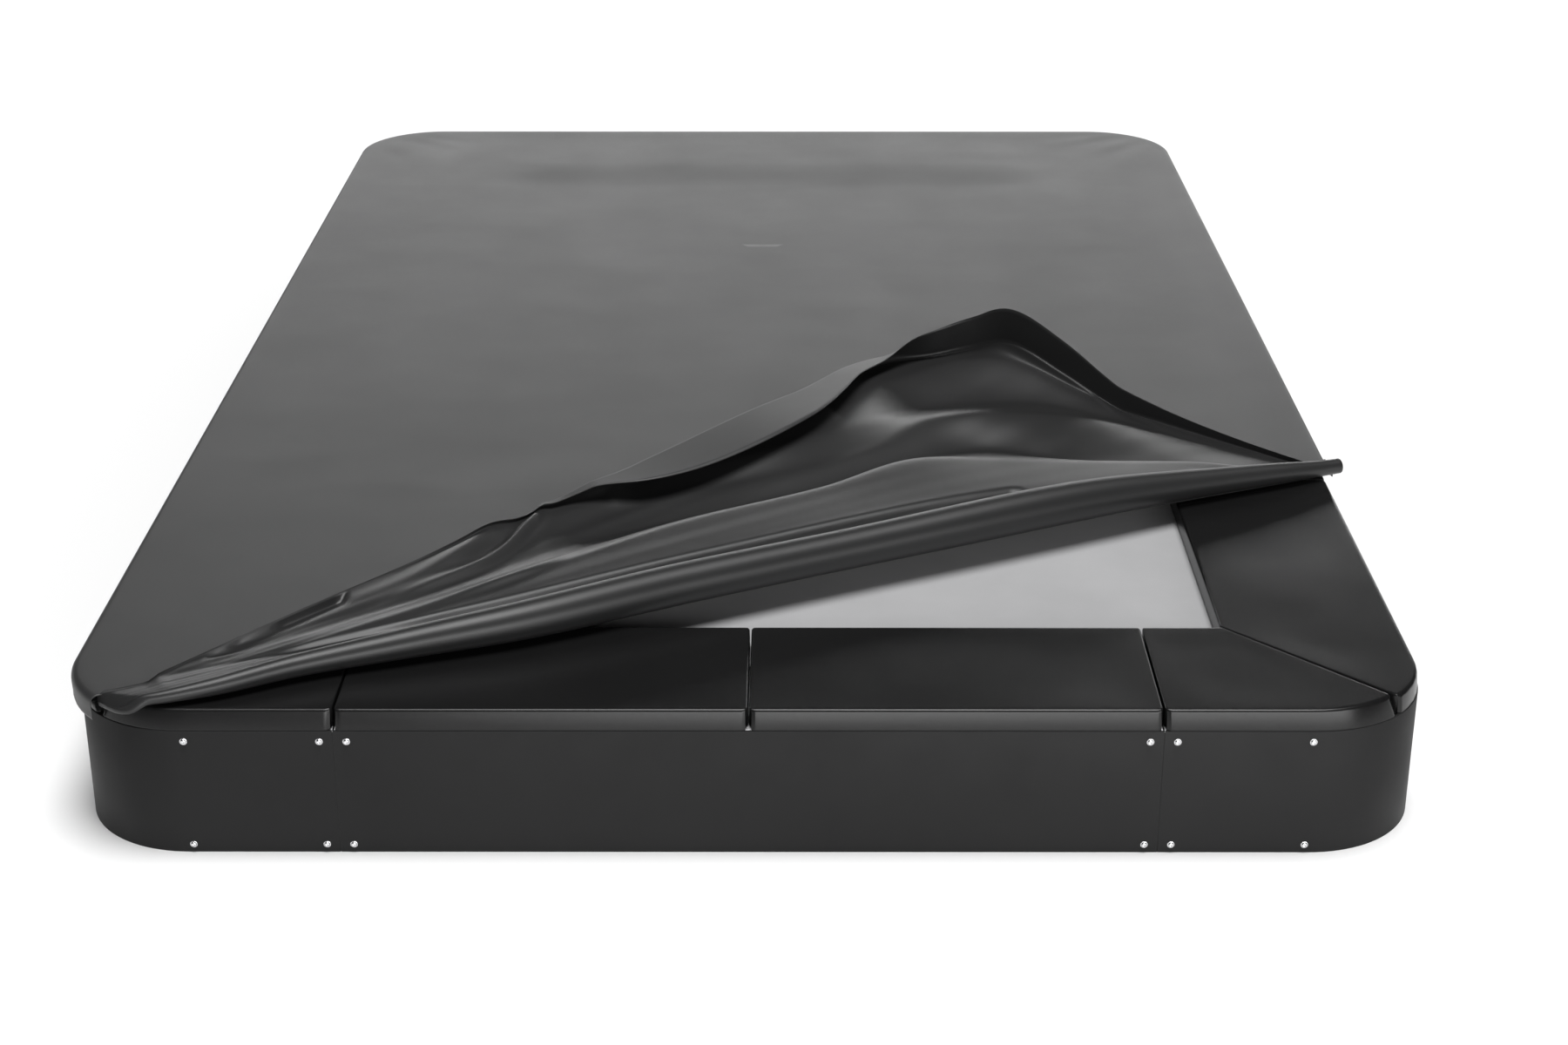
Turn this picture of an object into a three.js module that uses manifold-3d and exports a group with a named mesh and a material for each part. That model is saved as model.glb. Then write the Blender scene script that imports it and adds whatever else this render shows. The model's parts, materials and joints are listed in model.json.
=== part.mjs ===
// A low rectangular garden trampoline that stands flat on the ground, with a folded-back weather cover.
// Millimetres, +Z up. The origin is on the ground under the centre of the frame, X runs across the
// width and Y along the length; the front, where the cover is folded back, faces -Y.
import * as THREE from "three";
import { mergeVertices } from "three/addons/utils/BufferGeometryUtils.js";
import Module from "manifold-3d";

const wasm = await Module();
wasm.setup();

// Driving dimensions
const MODULE = 305; // the one-foot grid that panels and pads are cut to
const HALF_X = 5 * MODULE; // outer wall face, half the width
const HALF_Y = 8 * MODULE; // outer wall face, half the length
const CORNER_R = 270; // outer radius of the rounded corners
const WALL_TOP = 305;
const WALL_THICK = 2;
const JOINT_X = 3 * MODULE; // wall joints on the front and back
const JOINT_Y = 6 * MODULE; // wall joints near the corners of the long sides
const PANEL_GAP = 2; // open joint between two wall panels
const GAP = 0.3; // between pieces that touch
const QUARTER_HANDLE = 0.5523; // a cubic curve's handles over the radius of its quarter circle
const BEYOND = 6000; // farther out than anything in the part
const RAIL_INSET = 3; // from the wall's inner face to the rails

const TOP_RAIL_D = 50;
const TOP_RAIL_WALL = 2.5;
const BASE_RAIL = 40; // square tube
const BASE_RAIL_WALL = 2;
const POST = 40;
const POST_WALL = 2;

const PAD_BOTTOM = 306;
const PAD_TOP = 350;
const PAD_INNER_X = 1098; // edge of the jumping opening
const PAD_INNER_Y = HALF_Y - 442;
const PAD_JOINT_Y = 1098; // joints of the long side pads
const PAD_OUTSET = 2; // pads end this far inside the wall face
const PAD_GAP = 5;
const PAD_ROUND = 12;

const BED_EDGE = 325; // from the wall face to the edge of the bed
const BED_TOP = 302;
const BED_THICK = 3;
const SPRING_ROD = 10; // a solid rod as heavy as the coiled spring
const SPRING_PITCH = 102;
const SPRING_Z = 285;
const V_BAND = 8; // width of the sewn band that the springs hook into

const COVER_UNDER = 354; // underside of the cover where it lies over the pads
const COVER_THICK = 3;
const COVER_DROP = 298; // lower edge of the cover's skirt
const COVER_OUTSET = 16; // from the wall face to the skirt's inner face
// The crease along which the front right corner of the cover is folded back
const CREASE_LEFT = new THREE.Vector2(-1460, -2375);
const CREASE_RIGHT = new THREE.Vector2(1548, -1075);
const FLAP_CLEAR = 3; // from the cover to the flap lying on it
const FLAP_THICK = 4;

const finish = (color, roughness, metalness) => () =>
  new THREE.MeshStandardMaterial({ color, roughness, metalness });
const wallFinish = finish(0x343434, 0.5, 0.1);
const steelFinish = finish(0x8d9093, 0.4, 0.9);
const padFinish = finish(0x1d1d1e, 0.45, 0);
const bedFinish = finish(0xa9a9aa, 0.7, 0);
const coverFinish = finish(0x4e4e4f, 0.65, 0);

const trampoline = new THREE.Group();

function place(name, geometry, material, x = 0, y = 0, z = 0, turn = 0) {
  const mesh = new THREE.Mesh(geometry, material());
  mesh.name = name;
  mesh.position.set(x, y, z);
  mesh.rotation.z = turn;
  trampoline.add(mesh);
  return mesh;
}

// A closed geometry as a manifold solid, and back.
function solid(geometry) {
  const bare = geometry.clone();
  bare.deleteAttribute("normal");
  bare.deleteAttribute("uv");
  const merged = mergeVertices(bare, 1e-3);
  return new wasm.Manifold(
    new wasm.Mesh({
      numProp: 3,
      vertProperties: new Float32Array(merged.attributes.position.array),
      triVerts: new Uint32Array(merged.index.array),
    }),
  );
}

function fromSolid(made) {
  const mesh = made.getMesh();
  const geometry = new THREE.BufferGeometry();
  geometry.setAttribute("position", new THREE.BufferAttribute(mesh.vertProperties, 3));
  geometry.setIndex(new THREE.BufferAttribute(mesh.triVerts, 1));
  geometry.computeVertexNormals();
  return geometry;
}

function outline(points) {
  return new THREE.Shape(points.map(([x, y]) => new THREE.Vector2(x, y)));
}

// An upright prism from z = low to z = high.
function prism(shape, low, high, curveSegments = 8) {
  const geometry = new THREE.ExtrudeGeometry(shape, {
    depth: high - low,
    bevelEnabled: false,
    curveSegments,
  });
  geometry.translate(0, 0, low);
  return geometry;
}

// Plan of the frame's outline moved inwards by inset.
function ringOutline(inset) {
  const x = HALF_X - inset;
  const y = HALF_Y - inset;
  const r = CORNER_R - inset;
  const shape = new THREE.Shape();
  shape.moveTo(-x + r, -y);
  shape.lineTo(x - r, -y);
  shape.absarc(x - r, -y + r, r, -Math.PI / 2, 0, false);
  shape.lineTo(x, y - r);
  shape.absarc(x - r, y - r, r, 0, Math.PI / 2, false);
  shape.lineTo(-x + r, y);
  shape.absarc(-x + r, y - r, r, Math.PI / 2, Math.PI, false);
  shape.lineTo(-x, -y + r);
  shape.absarc(-x + r, -y + r, r, Math.PI, 1.5 * Math.PI, false);
  return shape;
}

// The four corners are one shape, turned about the centres of their arcs. Its local frame is that of
// the front right corner; ALONG is the straight length on either side of the arc.
const ARC_X = HALF_X - CORNER_R;
const ARC_Y = HALF_Y - CORNER_R;
const ALONG_X = ARC_X - JOINT_X;
const ALONG_Y = ARC_Y - JOINT_Y;
const CORNERS = [
  { name: "front_right", x: ARC_X, y: -ARC_Y, turn: 0 },
  { name: "back_right", x: ARC_X, y: ARC_Y, turn: Math.PI / 2 },
  { name: "back_left", x: -ARC_X, y: ARC_Y, turn: Math.PI },
  { name: "front_left", x: -ARC_X, y: -ARC_Y, turn: -Math.PI / 2 },
];

// ---- Wall panels: thin sheets bent round the corners, butted at the joints

function cornerPanel() {
  const inner = CORNER_R - WALL_THICK;
  const endX = -ALONG_X + PANEL_GAP / 2;
  const endY = ALONG_Y - PANEL_GAP / 2;
  const shape = new THREE.Shape();
  shape.moveTo(endX, -CORNER_R);
  shape.lineTo(0, -CORNER_R);
  shape.absarc(0, 0, CORNER_R, -Math.PI / 2, 0, false);
  shape.lineTo(CORNER_R, endY);
  shape.lineTo(inner, endY);
  shape.lineTo(inner, 0);
  shape.absarc(0, 0, inner, 0, -Math.PI / 2, true);
  shape.lineTo(endX, -inner);
  shape.closePath();
  return prism(shape, 0, WALL_TOP, 6);
}

function straightPanel(name, length, x, y, turn) {
  const sheet = new THREE.BoxGeometry(length - PANEL_GAP, WALL_THICK, WALL_TOP);
  place(name, sheet, wallFinish, x, y, WALL_TOP / 2, turn);
}

function addWall() {
  for (const corner of CORNERS)
    place(`panel_${corner.name}`, cornerPanel(), wallFinish, corner.x, corner.y, 0, corner.turn);
  const faceX = HALF_X - WALL_THICK / 2;
  const faceY = HALF_Y - WALL_THICK / 2;
  straightPanel("panel_front", 2 * JOINT_X, 0, -faceY, 0);
  straightPanel("panel_back", 2 * JOINT_X, 0, faceY, 0);
  for (const [side, sign] of [["left", -1], ["right", 1]]) {
    straightPanel(`panel_${side}_front`, JOINT_Y, sign * faceX, -JOINT_Y / 2, Math.PI / 2);
    straightPanel(`panel_${side}_back`, JOINT_Y, sign * faceX, JOINT_Y / 2, Math.PI / 2);
  }
}

// ---- Frame: a round top rail, a square base rail and posts at the wall joints

function roundTube(diameter, wall) {
  const shape = new THREE.Shape();
  shape.absarc(0, 0, diameter / 2, 0, 2 * Math.PI, false);
  const bore = new THREE.Path();
  bore.absarc(0, 0, diameter / 2 - wall, 0, 2 * Math.PI, true);
  shape.holes.push(bore);
  return shape;
}

function squareTube(side, wall) {
  const square = (half) => [[-half, -half], [half, -half], [half, half], [-half, half]];
  const shape = outline(square(side / 2));
  shape.holes.push(outline(square(side / 2 - wall)));
  return shape;
}

function along(path, section, steps) {
  return new THREE.ExtrudeGeometry(section, { extrudePath: path, steps, curveSegments: 6 });
}

// A rail's line round a corner: straight, a quarter circle of the given radius, straight.
function cornerLine(radius) {
  const k = radius * QUARTER_HANDLE;
  const at = (x, y) => new THREE.Vector3(x, y, 0);
  const line = new THREE.CurvePath();
  line.add(new THREE.LineCurve3(at(-ALONG_X + PANEL_GAP, -radius), at(0, -radius)));
  line.add(new THREE.CubicBezierCurve3(at(0, -radius), at(k, -radius), at(radius, -k), at(radius, 0)));
  line.add(new THREE.LineCurve3(at(radius, 0), at(radius, ALONG_Y - PANEL_GAP)));
  return line;
}

function addRail(label, section, depth, z) {
  const inset = WALL_THICK + RAIL_INSET + depth / 2;
  for (const corner of CORNERS) {
    const bend = along(cornerLine(CORNER_R - inset), section, 16);
    place(`${label}_${corner.name}`, bend, steelFinish, corner.x, corner.y, z, corner.turn);
  }
  const run = (halfLength) =>
    new THREE.LineCurve3(new THREE.Vector3(-halfLength, 0, 0), new THREE.Vector3(halfLength, 0, 0));
  const across = () => along(run(JOINT_X - PANEL_GAP), section, 1);
  const lengthwise = () => along(run(JOINT_Y - PANEL_GAP), section, 1);
  place(`${label}_front`, across(), steelFinish, 0, -HALF_Y + inset, z);
  place(`${label}_back`, across(), steelFinish, 0, HALF_Y - inset, z);
  place(`${label}_left`, lengthwise(), steelFinish, -HALF_X + inset, 0, z, Math.PI / 2);
  place(`${label}_right`, lengthwise(), steelFinish, HALF_X - inset, 0, z, Math.PI / 2);
}

function addPosts() {
  const low = BASE_RAIL + GAP;
  const high = WALL_TOP - TOP_RAIL_D - GAP;
  const inset = WALL_THICK + RAIL_INSET + POST / 2;
  const post = () => prism(squareTube(POST, POST_WALL), low, high);
  for (const [side, signX] of [["left", -1], ["right", 1]]) {
    const x = signX * JOINT_X;
    place(`post_front_${side}`, post(), steelFinish, x, -HALF_Y + inset);
    place(`post_back_${side}`, post(), steelFinish, x, HALF_Y - inset);
    const wallX = signX * (HALF_X - inset);
    place(`post_${side}_front`, post(), steelFinish, wallX, -JOINT_Y);
    place(`post_${side}_middle`, post(), steelFinish, wallX, 0);
    place(`post_${side}_back`, post(), steelFinish, wallX, JOINT_Y);
  }
}

// ---- Safety pads: foam slabs with rounded edges, mitred at the corners

function padSlab(shape) {
  const geometry = new THREE.ExtrudeGeometry(shape, {
    depth: PAD_TOP - PAD_BOTTOM - 2 * PAD_ROUND,
    bevelSize: PAD_ROUND,
    bevelThickness: PAD_ROUND,
    bevelOffset: -PAD_ROUND - PAD_GAP / 2,
    bevelSegments: 2,
    curveSegments: 4,
  });
  geometry.translate(0, 0, PAD_BOTTOM + PAD_ROUND);
  return geometry;
}

const PAD_X = HALF_X - PAD_OUTSET + PAD_GAP / 2;
const PAD_Y = HALF_Y - PAD_OUTSET + PAD_GAP / 2;

// The two pads that meet at the mitre of the front right corner: one runs along the front from fromX
// and one down the side from fromY, and each takes half of the corner's arc.
function frontCornerPad(fromX) {
  const r = CORNER_R;
  const shape = new THREE.Shape();
  shape.moveTo(fromX, -PAD_Y);
  shape.lineTo(PAD_X - r, -PAD_Y);
  shape.absarc(PAD_X - r, -PAD_Y + r, r, -Math.PI / 2, -Math.PI / 4, false);
  shape.lineTo(PAD_INNER_X, -PAD_INNER_Y);
  shape.lineTo(fromX, -PAD_INNER_Y);
  shape.closePath();
  return padSlab(shape);
}

function sideCornerPad(fromY) {
  const r = CORNER_R;
  const reach = r * Math.SQRT1_2;
  const shape = new THREE.Shape();
  shape.moveTo(PAD_INNER_X, -PAD_INNER_Y);
  shape.lineTo(PAD_X - r + reach, -PAD_Y + r - reach);
  shape.absarc(PAD_X - r, -PAD_Y + r, r, -Math.PI / 4, 0, false);
  shape.lineTo(PAD_X, fromY);
  shape.lineTo(PAD_INNER_X, fromY);
  shape.closePath();
  return padSlab(shape);
}

// The same geometry reflected in X and in Y, with its faces kept pointing out.
function reflected(geometry, signX, signY) {
  const made = solid(geometry);
  if (signX < 0 && signY < 0) return fromSolid(made.rotate([0, 0, 180]));
  if (signX < 0) return fromSolid(made.mirror([1, 0, 0]));
  if (signY < 0) return fromSolid(made.mirror([0, 1, 0]));
  return fromSolid(made);
}

function addPads() {
  const endPad = frontCornerPad(JOINT_X);
  const sideEndPad = sideCornerPad(-PAD_JOINT_Y);
  const box = (x0, y0, x1, y1) => padSlab(outline([[x0, y0], [x1, y0], [x1, y1], [x0, y1]]));
  const middlePad = box(0, -PAD_Y, JOINT_X, -PAD_INNER_Y);
  const sidePad = box(PAD_INNER_X, -PAD_JOINT_Y, PAD_X, PAD_JOINT_Y);
  for (const [side, signX] of [["left", -1], ["right", 1]]) {
    for (const [end, signY] of [["front", 1], ["back", -1]]) {
      place(`pad_${end}_corner_${side}`, reflected(endPad, signX, signY), padFinish);
      place(`pad_${end}_middle_${side}`, reflected(middlePad, signX, signY), padFinish);
      place(`pad_${side}_${end}`, reflected(sideEndPad, signX, signY), padFinish);
    }
    place(`pad_${side}_middle`, reflected(sidePad, signX, 1), padFinish);
  }
}

// ---- Jumping bed and the rows of springs that hold it

const BED_X = HALF_X - BED_EDGE;
const BED_Y = HALF_Y - BED_EDGE;

function addBed() {
  const sheet = new THREE.BoxGeometry(2 * BED_X, 2 * BED_Y, BED_THICK);
  place("jumping_bed", sheet, bedFinish, 0, 0, BED_TOP - BED_THICK / 2);
}

// A comb: the sewn band under the bed's edge, with one rod for each spring out to the rail. Local X
// runs along the row and local Y towards the rail.
function springComb(halfLength) {
  const reach = BED_EDGE - WALL_THICK - RAIL_INSET - TOP_RAIL_D - GAP;
  const half = SPRING_ROD / 2;
  const count = 2 * Math.floor((halfLength - SPRING_PITCH) / SPRING_PITCH) + 1;
  const points = [[halfLength, -V_BAND], [halfLength, 0]];
  for (let i = 0; i < count; i++) {
    const x = ((count - 1) / 2 - i) * SPRING_PITCH;
    points.push([x + half, 0], [x + half, reach], [x - half, reach], [x - half, 0]);
  }
  points.push([-halfLength, 0], [-halfLength, -V_BAND]);
  return prism(outline(points), SPRING_Z - half, SPRING_Z + half);
}

function addSprings() {
  const short = () => springComb(BED_X - 2 * V_BAND);
  const long = () => springComb(BED_Y - 2 * V_BAND);
  place("springs_front", short(), steelFinish, 0, -BED_Y, 0, Math.PI);
  place("springs_back", short(), steelFinish, 0, BED_Y, 0, 0);
  place("springs_left", long(), steelFinish, -BED_X, 0, 0, Math.PI / 2);
  place("springs_right", long(), steelFinish, BED_X, 0, 0, -Math.PI / 2);
}

// ---- Weather cover: a sheet with a skirt sewn round its edge, up to the crease

// The crease's direction, and the direction back from it over the lying part of the cover
const ACROSS = CREASE_RIGHT.clone().sub(CREASE_LEFT).normalize();
const BACK = new THREE.Vector2(-ACROSS.y, ACROSS.x);

// The plan point u along the crease and w back from it.
function fromCrease(u, w) {
  const p = CREASE_LEFT.clone().addScaledVector(ACROSS, u).addScaledVector(BACK, w);
  return [p.x, p.y];
}

// Everything behind the crease, as a tall prism.
function behindCrease() {
  const plan = [[-BEYOND, 0], [BEYOND, 0], [BEYOND, BEYOND], [-BEYOND, BEYOND]];
  return prism(outline(plan.map(([u, w]) => fromCrease(u, w))), 0, BEYOND);
}

function addCover() {
  const top = COVER_UNDER + COVER_THICK;
  const outer = ringOutline(-COVER_OUTSET - COVER_THICK);
  const kept = solid(behindCrease());
  const sheet = solid(prism(outer, COVER_UNDER, top)).intersect(kept);
  place("cover_sheet", fromSolid(sheet), coverFinish);
  const room = solid(prism(ringOutline(-COVER_OUTSET), 0, top));
  const band = solid(prism(outer, COVER_DROP, COVER_UNDER - GAP)).subtract(room).intersect(kept);
  place("cover_skirt", fromSolid(band), coverFinish);
}

// The folded corner. Stations run along the crease; each is a line of points across the fold, from
// the crease over the rolled edge, the waves and the raised hem. Distances are along the crease (u),
// back from it (w) and up from the cover (h).

// The closed cover's edge in front of the crease, reflected in the crease: straight along the front,
// round the corner and straight down the side.
const FLAP_EDGE = [
  [30, 60], [396, 242], [1100, 547], [1800, 850], [2466, 1137],
  [2580, 1163], [2690, 1135], [2770, 1070], [2821, 996], [3050, 496], [3250, 60],
];
// Height of the raised hem at the same points
const FLAP_HEM = [12, 20, 45, 60, 110, 140, 175, 205, 215, 90, 25];
// Radius of the rolled edge at the crease
const FLAP_ROLL = [6, 22, 45, 50, 52, 50, 48, 46, 44, 30, 12];
// A station's points: w as shares of the edge's distance and of the roll, then h as shares of the roll
// and of the hem
const FLAP_SECTION = [
  [0, 0, 0, 0],
  [0, -0.9, 0.8, 0],
  [0, 0, 2, 0],
  [0.14, 1, 0.5, 0.1],
  [0.45, 0, 0.8, 0.45],
  [0.7, 0, 0.2, 0.5],
  [1, 0, 0, 1],
];
// The stations lean towards the crease's middle: they start at this share of u, moved by this much
const FLAP_LEAN = 0.96;
const FLAP_LEAN_START = 40;

function flapStation([edgeU, edgeW], hem, roll) {
  const creaseU = FLAP_LEAN * edgeU + FLAP_LEAN_START;
  return FLAP_SECTION.map(([edgeShare, rollOut, rollUp, hemShare]) => {
    const w = edgeShare * edgeW + rollOut * roll;
    const h = rollUp * roll + hemShare * hem;
    const share = Math.max(0, w / edgeW);
    return [creaseU + (edgeU - creaseU) * share, w, h];
  });
}

// A closed sheet through a grid of points, thickened upwards.
function thickSheet(rows, thickness) {
  const columns = rows[0].length;
  const layer = rows.length * columns;
  const positions = [];
  for (const lift of [0, thickness])
    for (const row of rows) for (const [x, y, z] of row) positions.push(x, y, z + lift);
  const index = [];
  const quad = (a, b, c, d) => index.push(a, b, c, a, c, d);
  for (let i = 0; i + 1 < rows.length; i++)
    for (let j = 0; j + 1 < columns; j++) {
      const a = i * columns + j;
      quad(a, a + 1, a + columns + 1, a + columns);
      quad(layer + a, layer + a + columns, layer + a + columns + 1, layer + a + 1);
    }
  const border = [];
  for (let j = 0; j < columns; j++) border.push(j);
  for (let i = 1; i < rows.length; i++) border.push(i * columns + columns - 1);
  for (let j = columns - 2; j >= 0; j--) border.push((rows.length - 1) * columns + j);
  for (let i = rows.length - 2; i > 0; i--) border.push(i * columns);
  border.forEach((a, k) => {
    const b = border[(k + 1) % border.length];
    quad(a, a + layer, b + layer, b);
  });
  const geometry = new THREE.BufferGeometry();
  geometry.setAttribute("position", new THREE.Float32BufferAttribute(positions, 3));
  geometry.setIndex(index);
  geometry.computeVertexNormals();
  return geometry;
}

function addFlap() {
  const base = COVER_UNDER + COVER_THICK + FLAP_CLEAR;
  const rows = FLAP_EDGE.map((edge, i) =>
    flapStation(edge, FLAP_HEM[i], FLAP_ROLL[i]).map(([u, w, h]) => [...fromCrease(u, w), base + h]),
  );
  place("cover_corner_flap", thickSheet(rows, FLAP_THICK), coverFinish);
}

addWall();
addRail("top_rail", roundTube(TOP_RAIL_D, TOP_RAIL_WALL), TOP_RAIL_D, WALL_TOP - TOP_RAIL_D / 2);
addRail("base_rail", squareTube(BASE_RAIL, BASE_RAIL_WALL), BASE_RAIL, BASE_RAIL / 2);
addPosts();
addPads();
addBed();
addSprings();
addCover();
addFlap();

export default trampoline;
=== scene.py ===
"""A low rectangular garden trampoline whose weather cover is folded back at the front right corner.

Metres, +Z up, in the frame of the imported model: X across the width, Y along the length, the front
facing -Y. CAD nodes with a plain shape are replaced by finer pieces in the same place."""

import json
import math

import bmesh
import bpy
import numpy as np
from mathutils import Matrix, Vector, noise


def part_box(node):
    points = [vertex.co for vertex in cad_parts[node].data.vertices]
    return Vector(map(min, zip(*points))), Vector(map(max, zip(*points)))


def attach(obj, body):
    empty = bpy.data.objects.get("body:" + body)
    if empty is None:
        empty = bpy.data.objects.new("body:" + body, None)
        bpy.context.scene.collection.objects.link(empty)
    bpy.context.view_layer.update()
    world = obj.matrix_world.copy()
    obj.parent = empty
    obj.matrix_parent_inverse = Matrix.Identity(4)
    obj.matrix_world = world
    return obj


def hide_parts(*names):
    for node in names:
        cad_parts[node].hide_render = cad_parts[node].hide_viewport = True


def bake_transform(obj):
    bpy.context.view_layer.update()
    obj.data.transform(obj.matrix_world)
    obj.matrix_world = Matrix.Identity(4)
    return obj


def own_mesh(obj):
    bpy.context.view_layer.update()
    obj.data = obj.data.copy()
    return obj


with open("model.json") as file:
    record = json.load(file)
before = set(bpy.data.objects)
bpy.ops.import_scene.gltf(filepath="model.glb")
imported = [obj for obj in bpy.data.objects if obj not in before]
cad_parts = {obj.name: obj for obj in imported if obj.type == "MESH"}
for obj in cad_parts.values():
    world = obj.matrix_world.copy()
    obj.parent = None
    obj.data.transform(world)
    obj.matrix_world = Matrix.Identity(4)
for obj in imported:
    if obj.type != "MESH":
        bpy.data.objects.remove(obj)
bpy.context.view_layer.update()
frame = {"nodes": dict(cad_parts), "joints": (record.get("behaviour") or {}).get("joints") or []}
JOINTS = {joint["name"]: joint for joint in frame["joints"]}

# ---- Sizes, from the frame where it holds them

HALF_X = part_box("panel_right_front")[1].x  # the wall's outer face
HALF_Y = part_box("panel_back")[1].y
WALL_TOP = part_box("panel_front")[1].z
WALL_THICK = 0.002
CORNER_R = 0.270  # outer radius of the wall's corners
PANEL_GAP = 0.002  # open joint between two wall panels
JOINT_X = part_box("panel_front")[1].x + PANEL_GAP / 2
JOINT_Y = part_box("panel_right_back")[1].y + PANEL_GAP / 2
PAD_GAP = 0.005  # between two CAD pads
PAD_LOW, PAD_HIGH = (corner.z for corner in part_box("pad_front_middle_right"))
PAD_OUT = 0.002  # pads end this far inside the wall's face
PAD_INNER_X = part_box("pad_right_middle")[0].x - PAD_GAP / 2
PAD_INNER_Y = -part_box("pad_front_middle_right")[1].y - PAD_GAP / 2
PAD_JOINT_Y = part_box("pad_right_middle")[1].y + PAD_GAP / 2
PAD_SPLIT = 0.0013  # from a pad joint to the foam
BED_X, BED_Y, BED_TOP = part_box("jumping_bed")[1]
RAIL_INNER_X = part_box("top_rail_right")[0].x
RAIL_INNER_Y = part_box("top_rail_back")[0].y
SPRING_Z = sum(corner.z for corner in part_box("springs_front")) / 2
SPRING_PITCH = 0.102
COVER_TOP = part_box("cover_sheet")[1].z
COVER_OUT = 0.019  # from the wall's face to the cover's outer face
SKIRT_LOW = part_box("cover_skirt")[0].z
CLOTH = 0.002  # thickness of the cover


def smoothstep(t):
    t = np.clip(t, 0, 1)
    return t * t * (3 - 2 * t)


def smooth_through(knots, x):
    """A smooth curve through (place, value) knots, level beyond its ends."""
    xs, ys = (np.array(v, float) for v in zip(*knots))
    slopes = np.gradient(ys, xs)
    slopes[0] = slopes[-1] = 0
    x = np.clip(x, xs[0], xs[-1])
    i = np.clip(np.searchsorted(xs, x, side="right") - 1, 0, len(xs) - 2)
    step = xs[i + 1] - xs[i]
    t = (x - xs[i]) / step
    return (
        (2 * t**3 - 3 * t**2 + 1) * ys[i]
        + (t**3 - 2 * t**2 + t) * step * slopes[i]
        + (3 * t**2 - 2 * t**3) * ys[i + 1]
        + (t**3 - t**2) * step * slopes[i + 1]
    )


def wave(x, y, z=0.0):
    """Smooth noise at each point, from -1 to 1."""
    points = np.broadcast_arrays(x, y, z)
    flat = [noise.noise(Vector(p)) for p in zip(*(np.ravel(a).tolist() for a in points))]
    return np.array(flat).reshape(points[0].shape)


# ---- Camera, floor and light


def add_camera():
    data = bpy.data.cameras.new("camera")
    data.lens = 59.18
    data.sensor_width = 36
    camera = bpy.data.objects.new("camera", data)
    camera.location = (0.085, -7.449, 2.985)
    camera.rotation_euler = (math.radians(66.496), 0, 0.0013)
    bpy.context.scene.collection.objects.link(camera)
    bpy.context.scene.camera = camera


def add_light(name, place, target, size, power):
    data = bpy.data.lights.new(name, "AREA")
    data.shape = "RECTANGLE"
    data.size, data.size_y = size
    data.energy = power
    lamp = bpy.data.objects.new(name, data)
    lamp.location = place
    lamp.rotation_euler = (Vector(target) - Vector(place)).to_track_quat("-Z", "Y").to_euler()
    bpy.context.scene.collection.objects.link(lamp)


def add_stage():
    half = 40
    corners = [(-half, -half, 0), (half, -half, 0), (half, half, 0), (-half, half, 0)]
    mesh = bpy.data.meshes.new("floor")
    mesh.from_pydata(corners, [], [(0, 1, 2, 3)])
    floor = bpy.data.objects.new("floor", mesh)
    bpy.context.scene.collection.objects.link(floor)
    material = bpy.data.materials.new("pale_floor")
    material.use_nodes = True
    shader = material.node_tree.nodes["Principled BSDF"]
    shader.inputs["Base Color"].default_value = (0.92, 0.92, 0.92, 1)
    shader.inputs["Roughness"].default_value = 0.9
    shader.inputs["Specular IOR Level"].default_value = 0.1
    mesh.materials.append(material)


def add_sun(azimuth, elevation, spread, strength):
    """Sunlight coming from an azimuth (degrees from +X towards +Y) and a height above the floor."""
    data = bpy.data.lights.new("sun", "SUN")
    data.energy = strength
    data.angle = math.radians(spread)
    lamp = bpy.data.objects.new("sun", data)
    a, e = math.radians(azimuth), math.radians(elevation)
    source = Vector((math.cos(a) * math.cos(e), math.sin(a) * math.cos(e), math.sin(e)))
    lamp.rotation_euler = source.to_track_quat("Z", "Y").to_euler()
    bpy.context.scene.collection.objects.link(lamp)


def add_lights():
    world = bpy.data.worlds.new("studio")
    world.use_nodes = True
    world.node_tree.nodes["Background"].inputs[0].default_value = (1, 1, 1, 1)
    world.node_tree.nodes["Background"].inputs[1].default_value = 0.05
    bpy.context.scene.world = world
    bpy.context.scene.view_settings.view_transform = "Standard"
    add_sun(-15, 85, 32, 3.1)
    add_light("far_panel", (1, 14, 3.2), (0, 0, 0.3), (16, 2.6), 580)
    add_light("front_panel", (3, -10.5, 2.2), (0, -2.4, 0.3), (10, 3.0), 620)


# ---- Materials


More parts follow.
